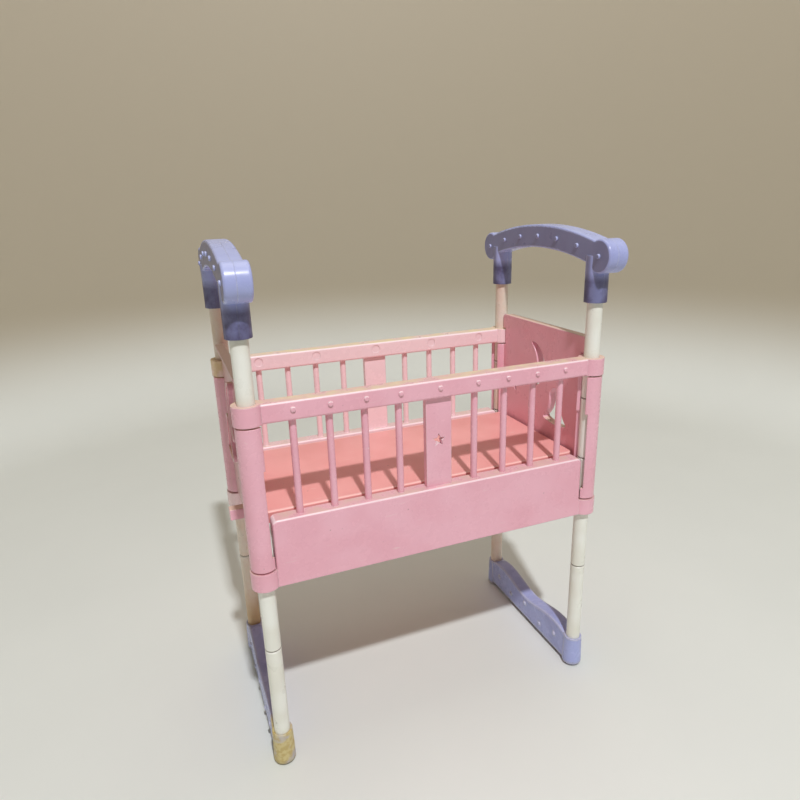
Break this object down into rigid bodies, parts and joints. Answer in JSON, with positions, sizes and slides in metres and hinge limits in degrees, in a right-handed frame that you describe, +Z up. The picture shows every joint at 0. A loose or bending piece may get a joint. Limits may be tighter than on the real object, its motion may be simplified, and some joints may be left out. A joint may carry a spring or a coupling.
{
  "type": "toy doll cot",
  "caption": "Tall knock-down toy cot for a small doll: barred sides, cut-out ends and a loose floor board held on stacked tube posts with foot bars and arched tops.",
  "frame": {"origin": "on the ground under the middle of the cot", "axes": "+X along the cot from left to right, +Y from the front side to the back side, +Z up"},
  "size_m": [0.1772, 0.1096, 0.2331],
  "materials": {
    "white_plastic": "glossy off-white moulded tube with grey scuffs",
    "lavender_plastic": "semi-gloss lavender moulding",
    "pink_plastic": "semi-gloss pink moulding with yellowed worn edges",
    "salmon_plastic": "satin salmon-pink moulding"
  },
  "bodies": {
    "stand": {"front_left_foot_tube": "white_plastic", "front_left_lower_tube": "white_plastic", "front_left_short_tube": "white_plastic", "front_left_top_tube": "white_plastic", "front_right_foot_tube": "white_plastic", "front_right_lower_tube": "white_plastic", "front_right_short_tube": "white_plastic", "front_right_top_tube": "white_plastic", "back_left_foot_tube": "white_plastic", "back_left_lower_tube": "white_plastic", "back_left_short_tube": "white_plastic", "back_left_top_tube": "white_plastic", "back_right_foot_tube": "white_plastic", "back_right_lower_tube": "white_plastic", "back_right_short_tube": "white_plastic", "back_right_top_tube": "white_plastic", "foot_bar_left": "lavender_plastic", "foot_bar_right": "lavender_plastic", "arch_left_left_half": "lavender_plastic", "arch_left_right_half": "lavender_plastic", "arch_right_left_half": "lavender_plastic", "arch_right_right_half": "lavender_plastic"},
    "cot_body": {"side_rail_front": "pink_plastic", "side_rail_back": "pink_plastic", "end_panel_left": "pink_plastic", "end_panel_right": "pink_plastic"},
    "floor_board": {"floor_board": "salmon_plastic"}
  },
  "joints": [
    {"name": "body_slide", "type": "slide", "parent": "stand", "child": "cot_body", "axis": [0, 0, 1], "range_m": [-0.075, 0.016]},
    {"name": "floor_lift", "type": "slide", "parent": "cot_body", "child": "floor_board", "axis": [0, 0, 1], "range_m": [0, 0.06]}
  ]
}
